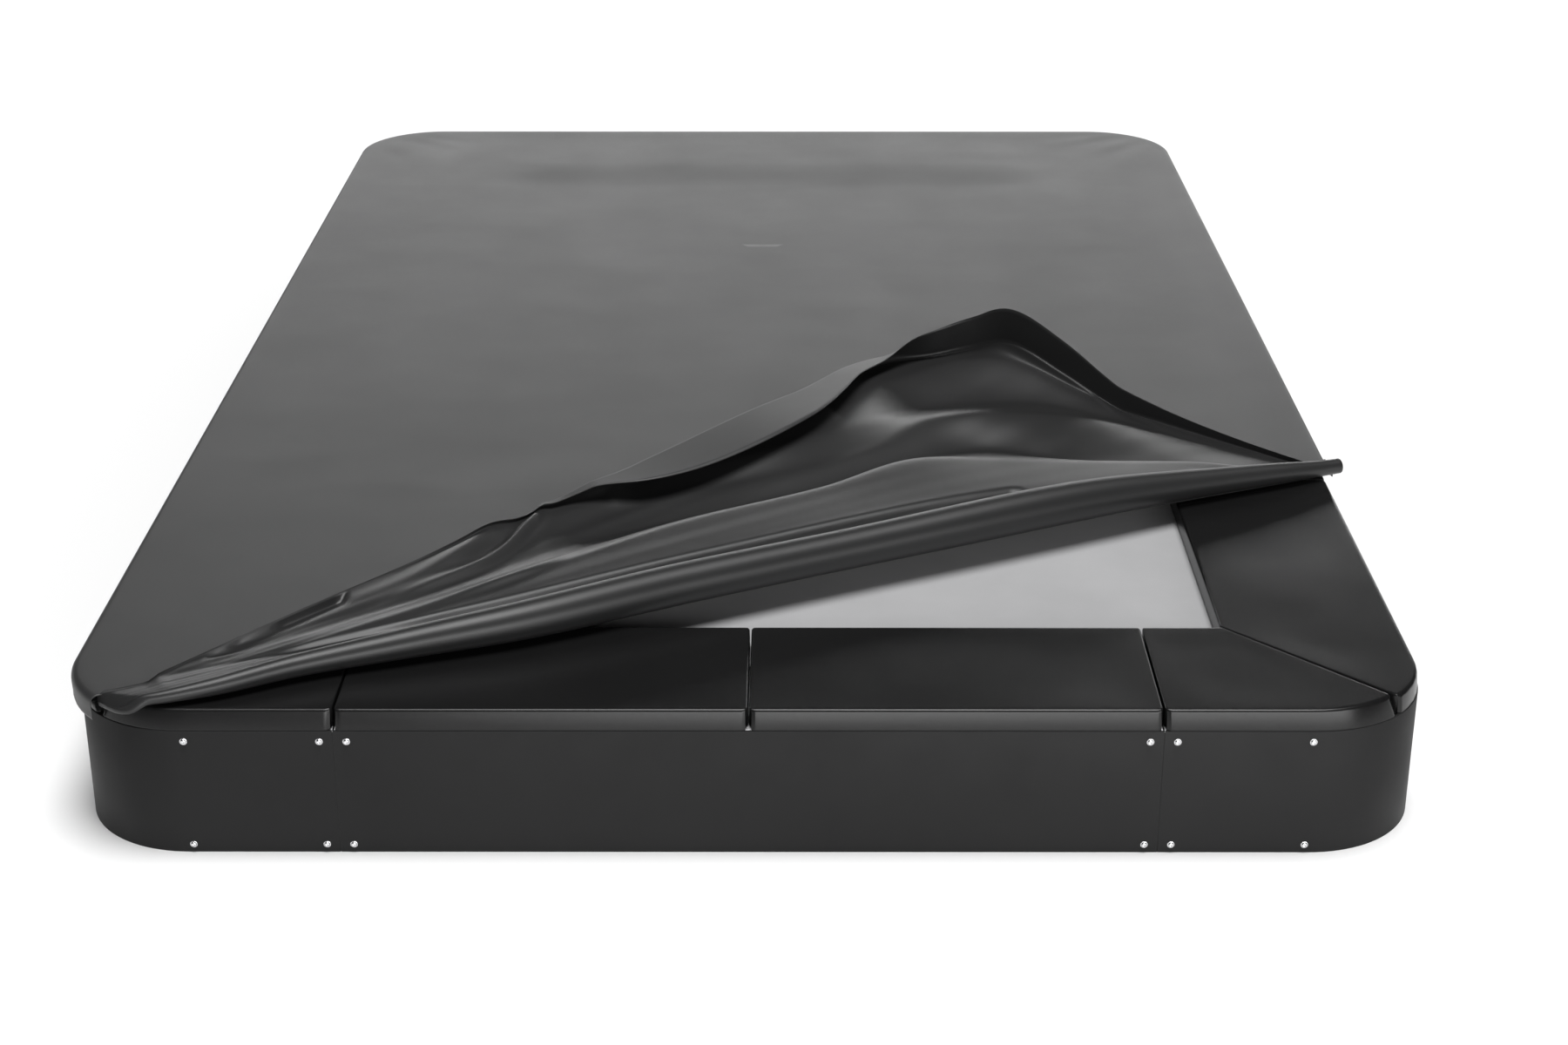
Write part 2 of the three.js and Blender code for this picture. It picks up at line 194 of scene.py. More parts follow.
class Surface:
    """A material made of nodes around one principled shader."""

    def __init__(self, name, **settings):
        self.material = bpy.data.materials.new(name)
        self.material.use_nodes = True
        self.nodes = self.material.node_tree.nodes
        self.links = self.material.node_tree.links
        self.shader = self.nodes["Principled BSDF"]
        for key, value in settings.items():
            self.shader.inputs[key.replace("_", " ")].default_value = value
        self.place = self.nodes.new("ShaderNodeTexCoord").outputs["Object"]
        self.height = None

    def noise(self, scale, detail=3.0, stretch=(1, 1, 1)):
        mapping = self.nodes.new("ShaderNodeMapping")
        mapping.inputs["Scale"].default_value = stretch
        self.links.new(self.place, mapping.inputs["Vector"])
        texture = self.nodes.new("ShaderNodeTexNoise")
        texture.inputs["Scale"].default_value = scale
        texture.inputs["Detail"].default_value = detail
        self.links.new(mapping.outputs[0], texture.inputs["Vector"])
        return texture.outputs["Fac"]

    def weave(self, threads_per_metre):
        """Two crossed sets of bands, like a plain woven cloth."""
        bands = []
        for direction in ("X", "Y"):
            texture = self.nodes.new("ShaderNodeTexWave")
            texture.bands_direction = direction
            texture.inputs["Scale"].default_value = threads_per_metre / 20 * math.pi
            texture.inputs["Distortion"].default_value = 0.6
            self.links.new(self.place, texture.inputs["Vector"])
            bands.append(texture.outputs["Fac"])
        return self.math("MULTIPLY", *bands)

    def math(self, operation, a, b):
        node = self.nodes.new("ShaderNodeMath")
        node.operation = operation
        for socket, value in zip(node.inputs, (a, b)):
            if isinstance(value, (int, float)):
                socket.default_value = value
            else:
                self.links.new(value, socket)
        return node.outputs[0]

    def between(self, value, low, high, source_low=0.3, source_high=0.7):
        node = self.nodes.new("ShaderNodeMapRange")
        self.links.new(value, node.inputs["Value"])
        node.inputs["From Min"].default_value = source_low
        node.inputs["From Max"].default_value = source_high
        node.inputs["To Min"].default_value = low
        node.inputs["To Max"].default_value = high
        return node.outputs[0]

    def colour(self, value, dark, light, low=0.3, high=0.7):
        ramp = self.nodes.new("ShaderNodeValToRGB")
        ramp.color_ramp.elements[0].position = low
        ramp.color_ramp.elements[1].position = high
        ramp.color_ramp.elements[0].color = (*dark, 1)
        ramp.color_ramp.elements[1].color = (*light, 1)
        self.links.new(value, ramp.inputs[0])
        self.links.new(ramp.outputs[0], self.shader.inputs["Base Color"])

    def rough(self, value, low, high):
        self.links.new(self.between(value, low, high), self.shader.inputs["Roughness"])

    def bump(self, value, depth, strength=1.0):
        """Adds a bump depth metres high on top of the ones before it."""
        node = self.nodes.new("ShaderNodeBump")
        node.inputs["Strength"].default_value = strength
        node.inputs["Distance"].default_value = depth
        self.links.new(value, node.inputs["Height"])
        if self.height is not None:
            self.links.new(self.height, node.inputs["Normal"])
        self.height = node.outputs[0]
        self.links.new(self.height, self.shader.inputs["Normal"])


def grey(value):
    return (value, value, value * 1.015)


def wall_paint():
    s = Surface("wall_powder_coat", Specular_IOR_Level=0.2)
    s.colour(s.noise(2.2, 4), grey(0.010), grey(0.012))
    s.rough(s.noise(9, 5), 0.5, 0.58)
    s.bump(s.noise(900, 2), 0.0002, 0.5)
    return s.material


def zinc_steel(name="zinc_steel", low=0.42, high=0.58):
    s = Surface(name, Metallic=1.0)
    s.colour(s.noise(60, 3), grey(low), grey(high))
    s.rough(s.noise(140, 4), 0.32, 0.5)
    s.bump(s.noise(400, 2), 0.0001, 0.4)
    return s.material


def bright_steel():
    s = Surface("bright_steel", Metallic=1.0)
    s.colour(s.noise(300, 2), grey(0.72), grey(0.8))
    s.rough(s.noise(700, 3), 0.18, 0.28)
    return s.material


def pad_vinyl():
    s = Surface("pad_vinyl", Specular_IOR_Level=0.3)
    s.colour(s.noise(3, 4), grey(0.006), grey(0.008))
    s.rough(s.noise(3, 2), 0.23, 0.26)
    s.bump(s.noise(700, 3), 0.0002, 0.4)
    return s.material


def bed_cloth():
    s = Surface("bed_cloth", Specular_IOR_Level=0.25)
    s.colour(s.noise(5, 4), grey(0.40), grey(0.43))
    s.rough(s.noise(30, 4), 0.62, 0.72)
    s.bump(s.weave(600), 0.0004, 0.5)
    return s.material


def cover_cloth(name, dark, light, rough_low, rough_high, level):
    s = Surface(name, Specular_IOR_Level=level)
    s.colour(s.noise(1.6, 5), grey(dark), grey(light))
    s.rough(s.noise(4, 5), rough_low, rough_high)
    s.bump(s.weave(900), 0.00025, 0.4)
    return s.material


MATERIALS = {
    "wall": wall_paint(),
    "zinc": zinc_steel(),
    "spring": zinc_steel("spring_steel", 0.5, 0.66),
    "screw": bright_steel(),
    "pad": pad_vinyl(),
    "bed": bed_cloth(),
    "cover": cover_cloth("cover_outer", 0.023, 0.026, 0.46, 0.50, 0.5),
    "lining": cover_cloth("cover_inner", 0.015, 0.018, 0.37, 0.41, 0.42),
}

# ---- Mesh tools


def new_piece(name, points, faces, materials, smooth=True):
    mesh = bpy.data.meshes.new(name)
    mesh.from_pydata([tuple(p) for p in points], [], faces)
    mesh.validate()
    mesh.polygons.foreach_set("use_smooth", [smooth] * len(mesh.polygons))
    for material in materials:
        mesh.materials.append(MATERIALS[material])
    piece = bpy.data.objects.new(name, mesh)
    bpy.context.scene.collection.objects.link(piece)
    return piece


def grid_faces(rows, columns, first=0, flip=False):
    faces = []
    for i in range(rows - 1):
        for j in range(columns - 1):
            a = first + i * columns + j
            face = (a, a + 1, a + columns + 1, a + columns)
            faces.append(face[::-1] if flip else face)
    return faces


def ring_faces(rings, count, flip=False):
    """Faces between neighbouring closed rings of count points each."""
    faces = []
    for i in range(rings - 1):
        for k in range(count):
            a, b = i * count + k, i * count + (k + 1) % count
            faces.append((a, a + count, b + count, b) if flip else (a, b, b + count, a + count))
    return faces


def apply_modifiers(piece):
    graph = bpy.context.evaluated_depsgraph_get()
    mesh = bpy.data.meshes.new_from_object(piece.evaluated_get(graph))
    piece.modifiers.clear()
    piece.data = mesh


def thicken(piece, thickness, lining=1):
    """Gives a sheet its thickness below its faces, with the next material on the far side."""
    solid = piece.modifiers.new("thickness", "SOLIDIFY")
    solid.thickness = thickness
    solid.offset = -1
    solid.material_offset = lining
    solid.material_offset_rim = 0
    apply_modifiers(piece)


class Parts:
    """Points and faces of several shells that end up in one piece."""

    def __init__(self):
        self.points, self.faces = [], []

    def add(self, points, faces):
        first = len(self.points)
        self.points.extend(tuple(p) for p in points)
        self.faces.extend(tuple(first + i for i in face) for face in faces)


def tube(path, radius, sides=6):
    """A closed round tube along points in space."""
    path = np.array(path, float)
    tangents = np.gradient(path, axis=0)
    tangents /= np.linalg.norm(tangents, axis=1)[:, None]
    side = np.cross(tangents[0], [0.31, 0.52, 0.79])
    points = []
    for here, tangent in zip(path, tangents):
        side = side - tangent * (side @ tangent)
        side /= np.linalg.norm(side)
        up = np.cross(tangent, side)
        for k in range(sides):
            angle = 2 * math.pi * k / sides
            points.append(here + radius * (math.cos(angle) * side + math.sin(angle) * up))
    last = (len(path) - 1) * sides
    caps = [tuple(range(sides))[::-1], tuple(range(last, last + sides))]
    return points, ring_faces(len(path), sides) + caps


def sweep(line, profile):
    """A closed bar: the profile's (outward, height) points carried along a line in plan. The line is
    a list of (x, y, outward x, outward y)."""
    count = len(profile)
    points = [(x + nx * out, y + ny * out, z) for x, y, nx, ny in line for out, z in profile]
    last = (len(line) - 1) * count
    caps = [tuple(range(count)), tuple(range(last, last + count))[::-1]]
    return points, ring_faces(len(line), count, flip=True) + caps


def corner_arc(sign_x, sign_y, start, end, count):
    """Points of the wall's rounded corner with their outward directions, between two angles in
    degrees from the X axis towards the Y axis of that corner."""
    points = []
    for angle in np.radians(np.linspace(start, end, count)):
        nx, ny = sign_x * math.cos(angle), sign_y * math.sin(angle)
        x = sign_x * (HALF_X - CORNER_R) + CORNER_R * nx
        y = sign_y * (HALF_Y - CORNER_R) + CORNER_R * ny
        points.append((x, y, nx, ny))
    return points


# ---- Wall panels and their screws


def add_panels():
    t = WALL_THICK
    lip = 0.007
    profile = [
        (0, 0.0004), (0, WALL_TOP - 0.0015), (-0.0006, WALL_TOP - 0.0004), (-0.0015, WALL_TOP),
        (-lip, WALL_TOP), (-lip, WALL_TOP - t), (-t - 0.0005, WALL_TOP - t), (-t, WALL_TOP - t - 0.001),
        (-t, 0.0004), (-t + 0.0004, 0), (-0.0004, 0),
    ]
    gap = PANEL_GAP / 2
    lines = {}
    for end, sign in (("front", -1), ("back", 1)):
        lines[f"panel_{end}"] = [(x, sign * HALF_Y, 0, sign) for x in (-JOINT_X + gap, JOINT_X - gap)]
    for side, sx in (("left", -1), ("right", 1)):
        for end, sy in (("front", -1), ("back", 1)):
            ys = (sy * gap, sy * (JOINT_Y - gap))
            lines[f"panel_{side}_{end}"] = [(sx * HALF_X, y, sx, 0) for y in ys]
            line = [(sx * HALF_X, sy * (JOINT_Y + gap), sx, 0)]
            line += corner_arc(sx, sy, 0, 90, 25)
            line += [(sx * (JOINT_X + gap), sy * HALF_Y, 0, sy)]
            lines[f"panel_{end}_{side}"] = line
    for node, line in lines.items():
        points, faces = sweep(line, profile)
        piece = new_piece(f"wall_{node}", points, faces, ["wall"], smooth=False)
        smooth_by_angle(piece, 35)
        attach(piece, "frame")
        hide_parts(node)


def add_seams():
    """A near-black strip behind each joint of the wall, one piece for each side: painted shade that stands
    in for the shadow inside the open joint.
    """
    back, thick, half = 0.0008, 0.0006, 0.0009
    walls = {
        "front": [((x, -HALF_Y), (0, -1)) for x in (-JOINT_X, JOINT_X)],
        "back": [((x, HALF_Y), (0, 1)) for x in (-JOINT_X, JOINT_X)],
        "left": [((-HALF_X, y), (-1, 0)) for y in (-JOINT_Y, 0, JOINT_Y)],
        "right": [((HALF_X, y), (1, 0)) for y in (-JOINT_Y, 0, JOINT_Y)],
    }
    low, high = 0.001, WALL_TOP - 0.002
    profile = [(-back, low), (-back, high), (-back - thick, high), (-back - thick, low)]
    for wall, places in walls.items():
        parts = Parts()
        for (x, y), (nx, ny) in places:
            line = [(x - ny * half, y + nx * half, nx, ny), (x + ny * half, y - nx * half, nx, ny)]
            parts.add(*sweep(line, profile))
        name = f"joint_shade_strips_{wall}"
        # the near-black pad material here is painted shade for the dark inside of the joints
        piece = new_piece(name, parts.points, parts.faces, ["pad"], smooth=False)
        face_outwards(piece)
        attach(piece, "frame")


def smooth_by_angle(piece, degrees):
    """Smooth shading with the edges sharper than this kept crisp."""
    piece.data.polygons.foreach_set("use_smooth", [True] * len(piece.data.polygons))
    piece.data.set_sharp_from_angle(angle=math.radians(degrees))
    piece.data.update()


def screw(place, outward):
    """A domed button head with a washer and a hexagon recess."""
    x_axis = np.array([-outward[1], outward[0], 0.0])
    normal = np.array([outward[0], outward[1], 0.0])
    rings = [
        (0.0082, 0.0), (0.0082, 0.0010), (0.0078, 0.0013), (0.0066, 0.0014),
        (0.0066, 0.0024), (0.0060, 0.0038), (0.0048, 0.0047), (0.0034, 0.0051),
        (0.0030, 0.0050), (0.0028, 0.0028),
    ]
    sides = 24
    points = []
    for index, (radius, height) in enumerate(rings):
        for k in range(sides):
            angle = 2 * math.pi * k / sides
            reach = radius
            if index >= len(rings) - 2:
                turn = (angle + math.pi / 6) % (math.pi / 3) - math.pi / 6
                reach = radius * 0.88 / math.cos(turn)
            offset = math.cos(angle) * reach * x_axis + np.array([0, 0, math.sin(angle) * reach])
            points.append(np.array(place) + normal * height + offset)
    last = (len(rings) - 1) * sides
    caps = [tuple(range(sides)), tuple(range(last, last + sides))[::-1]]
    return points, ring_faces(len(rings), sides, flip=True) + caps


def add_screws():
    beside = 0.030
    near_arc = 0.011
    rows = (WALL_TOP - 0.025, 0.020)
    x_places = [s * (JOINT_X + d) for s in (-1, 1) for d in (-beside, beside)]
    x_places += [s * (HALF_X - CORNER_R - near_arc) for s in (-1, 1)]
    y_places = [s * (JOINT_Y + d) for s in (-1, 1) for d in (-beside, beside)]
    y_places += [-beside, beside] + [s * (HALF_Y - CORNER_R - near_arc) for s in (-1, 1)]
    walls = {
        "front": [((x, -HALF_Y), (0, -1)) for x in x_places],
        "back": [((x, HALF_Y), (0, 1)) for x in x_places],
        "left": [((-HALF_X, y), (-1, 0)) for y in y_places],
        "right": [((HALF_X, y), (1, 0)) for y in y_places],
    }
    for wall, places in walls.items():
        parts = Parts()
        for (x, y), outward in places:
            for z in rows:
                parts.add(*screw((x, y, z), outward))
        piece = new_piece(f"screws_{wall}", parts.points, parts.faces, ["screw"])
        smooth_by_angle(piece, 40)
        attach(piece, "frame")


# ---- Safety pads

# Distances from a pad's edge at which its grid has lines
EDGE_STEPS = (0, 0.0006, 0.0018, 0.0035, 0.0055, 0.008, 0.011, 0.014, 0.019, 0.03, 0.045)
PAD_GRID = 0.035  # spacing of its lines farther in
PAD_ROUND = 0.012  # rounding of a pad's corners in plan


def pad_steps(length, coarse):
    """Places from 0 to length, close together near both ends."""
    near = [s for s in EDGE_STEPS if s < length / 2]
    count = max(2, round((length - 2 * near[-1]) / coarse))
    middle = np.linspace(near[-1], length - near[-1], count + 1)[1:-1]
    return np.array(near + list(middle) + [length - s for s in near[::-1]])


def along_line(line, places, length):
    """Points of a line in plan at places along it, where length is the place of its end."""
    line = np.array(line, float)
    run = np.concatenate([[0], np.cumsum(np.linalg.norm(np.diff(line, axis=0), axis=1))])
    share = places / length * run[-1]
    return np.stack([np.interp(share, run, line[:, k]) for k in (0, 1)], -1)


def plan_between(lines, length, wide, a, b):
    """Points at a along and b across a pad, from its inner line to its outer line."""
    inner, outer = (along_line(line, a, length) for line in lines)
    share = (b / wide)[..., None]
    return inner * (1 - share) + outer * share


def rounded_fall(distance, radius):
    """How far a rounded edge lies below the top at a distance from the edge."""
    return radius - np.sqrt(np.maximum(0, radius**2 - np.maximum(0, radius - distance) ** 2))


def pad_top(x, y, to_end, to_side, seed):
    """Height of a pad's top: rounded edges and a soft, slightly uneven swell."""
    fall = np.maximum(rounded_fall(to_end, 0.005), rounded_fall(to_side, 0.009))
    inside = smoothstep(np.minimum(to_end, to_side) / 0.12)
    swell = 0.0026 * inside * (wave(x * 2.3, y * 2.3, seed) - 0.1)
    swell += 0.0004 * inside * wave(x * 7, y * 7, seed)
    return PAD_HIGH - fall + swell


def grid_border(rows, columns):
    """(row, column) of a grid's border points, once round."""
    border = [(0, j) for j in range(columns)]
    border += [(i, columns - 1) for i in range(1, rows)]
    border += [(rows - 1, j) for j in range(columns - 2, -1, -1)]
    border += [(i, 0) for i in range(rows - 2, 0, -1)]
    return border


def rim_place(i, j, inset_a, inset_b, length, wide):
    """Where a border point of the pad's top lies on the pad's full outline."""
    rows, columns = inset_a.shape
    a = 0.0 if i == 0 else length if i == rows - 1 else inset_a[i, j]
    b = 0.0 if j == 0 else wide if j == columns - 1 else inset_b[i, j]
    return a, b


def pad_mesh(inner, outer, lean, seed):
    """A foam pad between an inner and an outer line in plan, with rounded edges and a soft top. Its
    outer side leans in by lean from its bottom to its top."""
    lines = (inner, outer)
    length = max(0.3, math.dist(outer[-1], outer[0]))
    places = pad_steps(length, PAD_GRID)
    across = pad_steps(HALF_X - PAD_INNER_X, PAD_GRID)
    wide = across[-1]
    a, b = np.meshgrid(places, across, indexing="ij")
    inset_a = 0.0006 + (length - 0.0012) * a / length
    inset_b = 0.002 + (wide - 0.002 - lean) * b / wide
    to_end = np.minimum(a, length - a)
    to_side = np.minimum(b, wide - b)
    flat = plan_between(lines, length, wide, inset_a, inset_b)
    # the corners of the plan are rounded by pulling the points near them inwards
    near_corner = np.maximum(0, PAD_ROUND - to_end) * np.maximum(0, PAD_ROUND - to_side) / PAD_ROUND
    inwards = flat.mean(axis=(0, 1)) - flat
    inwards /= np.linalg.norm(inwards, axis=2)[..., None]
    pull = inwards * (near_corner * 0.5)[..., None]
    x, y = np.moveaxis(flat + pull, -1, 0)
    top = np.stack([x, y, pad_top(x, y, to_end, to_side, seed)], -1).reshape(-1, 3)
    bottom = np.stack([x, y, np.full_like(x, PAD_LOW)], -1).reshape(-1, 3)
    border = grid_border(*a.shape)
    rim_a, rim_b = np.array([rim_place(i, j, inset_a, inset_b, length, wide) for i, j in border]).T
    rim = plan_between(lines, length, wide, rim_a, rim_b) + np.array([pull[place] for place in border])
    edge = [i * a.shape[1] + j for i, j in border]
    bottom[edge, :2] = rim
    side = np.column_stack([rim, np.full(len(rim), PAD_LOW + 0.003)])
    faces = grid_faces(*a.shape) + grid_faces(*a.shape, len(top), flip=True)
    return np.concatenate([top, bottom, side]), faces + pad_side_faces(edge, len(top))


def pad_side_faces(edge, count):
    """Faces from the top's border down over the side's line of points to the bottom's border."""
    faces = []
    for k, index in enumerate(edge):
        after = (k + 1) % len(edge)
        following = edge[after]
        faces.append((index, 2 * count + k, 2 * count + after, following))
        faces.append((2 * count + k, index + count, following + count, 2 * count + after))
    return faces


def pad_lines():
    """The inner and the outer line of each pad in plan, by the name of its CAD node."""
    x_out, y_out = HALF_X - PAD_OUT, HALF_Y - PAD_OUT
    g = PAD_SPLIT
    inner_x, inner_y = PAD_INNER_X + g, PAD_INNER_Y + g
    lines = {}
    for side, sx in (("left", -1), ("right", 1)):
        for end, sy in (("front", -1), ("back", 1)):
            corner = corner_arc(sx, sy, 90, 45.4, 14)
            arc = [(x - nx * PAD_OUT, y - ny * PAD_OUT) for x, y, nx, ny in corner]
            start = sx * (JOINT_X + g)
            lines[f"pad_{end}_corner_{side}"] = (
                [(start, sy * inner_y), (sx * (inner_x - g), sy * inner_y)],
                [(start, sy * y_out)] + arc,
            )
            lines[f"pad_{end}_middle_{side}"] = (
                [(sx * g, sy * inner_y), (sx * (JOINT_X - g), sy * inner_y)],
                [(sx * g, sy * y_out), (sx * (JOINT_X - g), sy * y_out)],
            )
            arc = [(x - nx * PAD_OUT, y - ny * PAD_OUT) for x, y, nx, ny in corner_arc(sx, sy, 0, 44.6, 14)]
            start = sy * (PAD_JOINT_Y + g)
            lines[f"pad_{side}_{end}"] = (
                [(sx * inner_x, start), (sx * inner_x, sy * (inner_y - g))],
                [(sx * x_out, start)] + arc,
            )
        ys = (-PAD_JOINT_Y + g, PAD_JOINT_Y - g)
        lines[f"pad_{side}_middle"] = ([(sx * inner_x, y) for y in ys], [(sx * x_out, y) for y in ys])
    return lines


def add_pads():
    for index, (node, (inner, outer)) in enumerate(pad_lines().items()):
        lean = 0.014 if node.startswith(("pad_front", "pad_back")) else 0.003
        points, faces = pad_mesh(inner, outer, lean, 3.7 * index)
        piece = new_piece(f"foam_{node}", points, faces, ["pad"])
        face_outwards(piece)
        smooth_by_angle(piece, 50)
        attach(piece, "frame")
        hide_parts(node)


def face_outwards(piece):
    shape = bmesh.new()
    shape.from_mesh(piece.data)
    bmesh.ops.recalc_face_normals(shape, faces=shape.faces)
    shape.to_mesh(piece.data)
    shape.free()


# ---- Jumping bed: four mitred sectors


def add_bed():
    spine = BED_Y - BED_X
    sectors = {
        "right": ((BED_X, -BED_Y), (BED_X, BED_Y), (0, -spine), (0, spine)),
        "left": ((-BED_X, BED_Y), (-BED_X, -BED_Y), (0, spine), (0, -spine)),
        "front": ((-BED_X, -BED_Y), (BED_X, -BED_Y), (0, -spine), (0, -spine)),
        "back": ((BED_X, BED_Y), (-BED_X, BED_Y), (0, spine), (0, spine)),
    }
    for side, corners in sectors.items():
        a, b, c, d = (np.array(p, float) for p in corners)
        rows, columns = 25, 49
        s = np.linspace(0, 1, rows)[:, None, None]
        t = np.linspace(0, 1, columns)[None, :, None]
        plan = (a * (1 - t) + b * t) * (1 - s) + (c * (1 - t) + d * t) * s
        points = [(x, y, BED_TOP) for x, y in plan.reshape(-1, 2)]
        piece = new_piece(f"bed_{side}", points, grid_faces(rows, columns), ["bed"])
        merge_close(piece, 0.0005)
        thicken(piece, 0.0015, lining=0)
        smooth_by_angle(piece, 40)
        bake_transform(piece)
        if side == "front":
            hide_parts("jumping_bed")


def merge_close(piece, distance):
    shape = bmesh.new()
    shape.from_mesh(piece.data)
    bmesh.ops.remove_doubles(shape, verts=shape.verts, dist=distance)
    shape.to_mesh(piece.data)
    shape.free()


# The triangular ring that is sewn into the bed's edge
RING_PATH = [
    (-0.016, -0.010, 0.002), (0.016, -0.010, 0.002), (0.002, 0.005, 0), (-0.002, 0.005, 0),
    (-0.016, -0.0095, 0.002),
]


def spring_path(reach):
    """A coil spring along +Y with a hook at each end, from the bed's edge to the rail."""
    coil_r, wire = 0.0105, 0.0016
    first, last = 0.035, reach - 0.022
    turns = 17
    angles = np.linspace(0, turns * 2 * math.pi, turns * 9 + 1)
    coil = [
        (coil_r * math.cos(t), first + (last - first) * t / angles[-1], coil_r * math.sin(t))
        for t in angles
    ]
    hook_in = [
        (0, 0.004, -0.006), (0, -0.003, 0.0), (0, 0.004, 0.006), (0, 0.016, 0.004), (0.004, 0.028, 0.001),
    ]
    hook_out = [(0.004, last + 0.006, 0.001), (0, reach - 0.008, 0.003), (0, reach + 0.004, 0.006)]
    return hook_in + coil + hook_out, wire


def add_springs():
    turn = {"front": math.pi, "back": 0, "left": math.pi / 2, "right": -math.pi / 2}
    for side, angle in turn.items():
        lengthwise = side in ("left", "right")
        half = (BED_Y if lengthwise else BED_X) - 0.016
        edge = BED_X if lengthwise else BED_Y
        rail = RAIL_INNER_X if lengthwise else RAIL_INNER_Y
        count = 2 * int((half - SPRING_PITCH) / SPRING_PITCH) + 1
        path, wire = spring_path(rail - edge)
        shells = (tube(path, wire, 5), tube(RING_PATH, 0.002, 5))
        tab_points, tab_faces = box_shape(0.040, 0.030, 0.0025)
        tab_points = [(x, y - 0.014, z) for x, y, z in tab_points]
        springs, tabs = Parts(), Parts()
        for i in range(count):
            shift = ((count - 1) / 2 - i) * SPRING_PITCH
            for points, faces in shells:
                springs.add(placed(points, shift, edge, angle), faces)
            tabs.add(placed(tab_points, shift, edge, angle), tab_faces)
        row = new_piece(f"spring_row_{side}", springs.points, springs.faces, ["spring"])
        webbing = new_piece(f"spring_tabs_{side}", tabs.points, tabs.faces, ["lining"])
        for piece in (row, webbing):
            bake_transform(piece)
        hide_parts(f"springs_{side}")


def box_shape(x, y, z):
    """A block of these three sizes around the origin."""
    points = [(sx * x / 2, sy * y / 2, sz * z / 2) for sx in (-1, 1) for sy in (-1, 1) for sz in (-1, 1)]
    faces = [(0, 1, 3, 2), (4, 6, 7, 5), (0, 4, 5, 1), (2, 3, 7, 6), (0, 2, 6, 4), (1, 5, 7, 3)]
    return points, faces


def placed(points, shift, edge, angle):
    """Local points, with Y towards the rail, moved to their place along one side of the bed."""
    c, s = math.cos(angle), math.sin(angle)
    moved = []
    for x, y, z in points:
        px, py = x + shift, y + edge
        moved.append((px * c - py * s, px * s + py * c, SPRING_Z + 0.005 + z))
    return moved


# ---- Weather cover

HINGE = JOINTS["cover_unfold"]
CREASE_START = np.array(HINGE["pos_m"][:2])
ACROSS = np.array(HINGE["axis"][:2])
BACK = np.array([-ACROSS[1], ACROSS[0]])
CREASE_LENGTH = (HALF_X + 0.023 - CREASE_START[0]) / ACROSS[0]


def crease_place(x, y):
    """(along the crease, back from it) of plan points."""
    dx, dy = x - CREASE_START[0], y - CREASE_START[1]
    return dx * ACROSS[0] + dy * ACROSS[1], dx * BACK[0] + dy * BACK[1]


def plan_place(u, w):
    """The plan point at u along the crease and w back from it."""
    return tuple(CREASE_START + u * ACROSS + w * BACK)


def cover_outline(spacing=0.022):
    """The closed line of the wall's outer face with outward directions, and for each point the point
    of the middle line that the cover's rings run towards."""
    spine = HALF_Y - HALF_X
    quarter = []
    for y in np.arange(0, HALF_Y - CORNER_R, spacing):
        quarter.append((HALF_X, y, 1, 0))
    quarter += corner_arc(1, 1, 0, 90, 25)
    for x in np.arange(HALF_X - CORNER_R, 0, -spacing)[1:]:
        quarter.append((x, HALF_Y, 0, 1))
    quarter.append((0, HALF_Y, 0, 1))
    half = quarter + [(-x, y, -nx, ny) for x, y, nx, ny in quarter[-2:0:-1]]
    whole = half + [(-HALF_X, 0, -1, 0)] + [(x, -y, nx, -ny) for x, y, nx, ny in half[::-1][:-1]]
    return [(x, y, nx, ny, 0.0, float(np.clip(y, -spine, spine))) for x, y, nx, ny in whole]


def cover_height(x, y, inward):
    """Height of the lying sheet: it sags a little over the opening and wrinkles softly."""
    _, w = crease_place(x, y)
    near_crease = smoothstep(w / 0.35)
    open_x = smoothstep((PAD_INNER_X - np.abs(x)) / 0.30)
    open_y = smoothstep((PAD_INNER_Y - np.abs(y)) / 0.30)
    sag = 0.010 * open_x * open_y
    wrinkles = np.abs(wave(x * 0.9, y * 2.4, 5.1) * 0.0016 + wave(x * 2.6, y * 5.0, 9.3) * 0.0006)
    away = smoothstep(inward / 0.12)
    corner = np.abs(x) / HALF_X * np.abs(y) / HALF_Y
    fan = np.arctan2(HALF_Y - np.abs(y) + 0.15, HALF_X - np.abs(x) + 0.15)
    radial = wave(fan * 7, np.sign(x) * 3, 1.7)
    pulled = 0.0045 * smoothstep((corner - 0.62) / 0.25) * radial * smoothstep(y / 1.0)
    return COVER_TOP - near_crease * (sag + wrinkles * away) + near_crease * away * pulled - 0.0008 * away


def cover_rings(outline):
    """Points of the cover's rings, from the skirt's hem up over the rounded edge and in over the top."""
    low = SKIRT_LOW + 0.0005
    edge_r = 0.018
    skirt = [(0.0175, low), (0.0187, low + 0.006), (0.0180, low + 0.012), (0.0186, low + 0.025)]
    for angle in np.radians(np.linspace(0, 90, 8)):
        out = COVER_OUT - edge_r + edge_r * math.cos(angle)
        skirt.append((out, COVER_TOP - edge_r + edge_r * math.sin(angle)))
    points = []
    for out, z in skirt:
        for x, y, nx, ny, _, _ in outline:
            below = max(0, (COVER_TOP - 0.02 - z) / 0.04)
            ripple = 0.0012 * noise.noise(Vector((x * 6, y * 6, 2.0))) * below
            drop = (COVER_TOP - z) * skirt_hang(x, y)
            points.append((x + nx * (out + ripple), y + ny * (out + ripple), COVER_TOP - drop))
    x, y, _, _, middle_x, middle_y = np.array(outline).T
    for inward in [0.010, 0.022, 0.040, 0.065, *np.linspace(0.1, HALF_X - 0.06, 47)]:
        t = inward / HALF_X
        ring_x, ring_y = x * (1 - t) + middle_x * t, y * (1 - t) + middle_y * t
        points.extend(zip(ring_x, ring_y, cover_height(ring_x, ring_y, inward)))
    return points


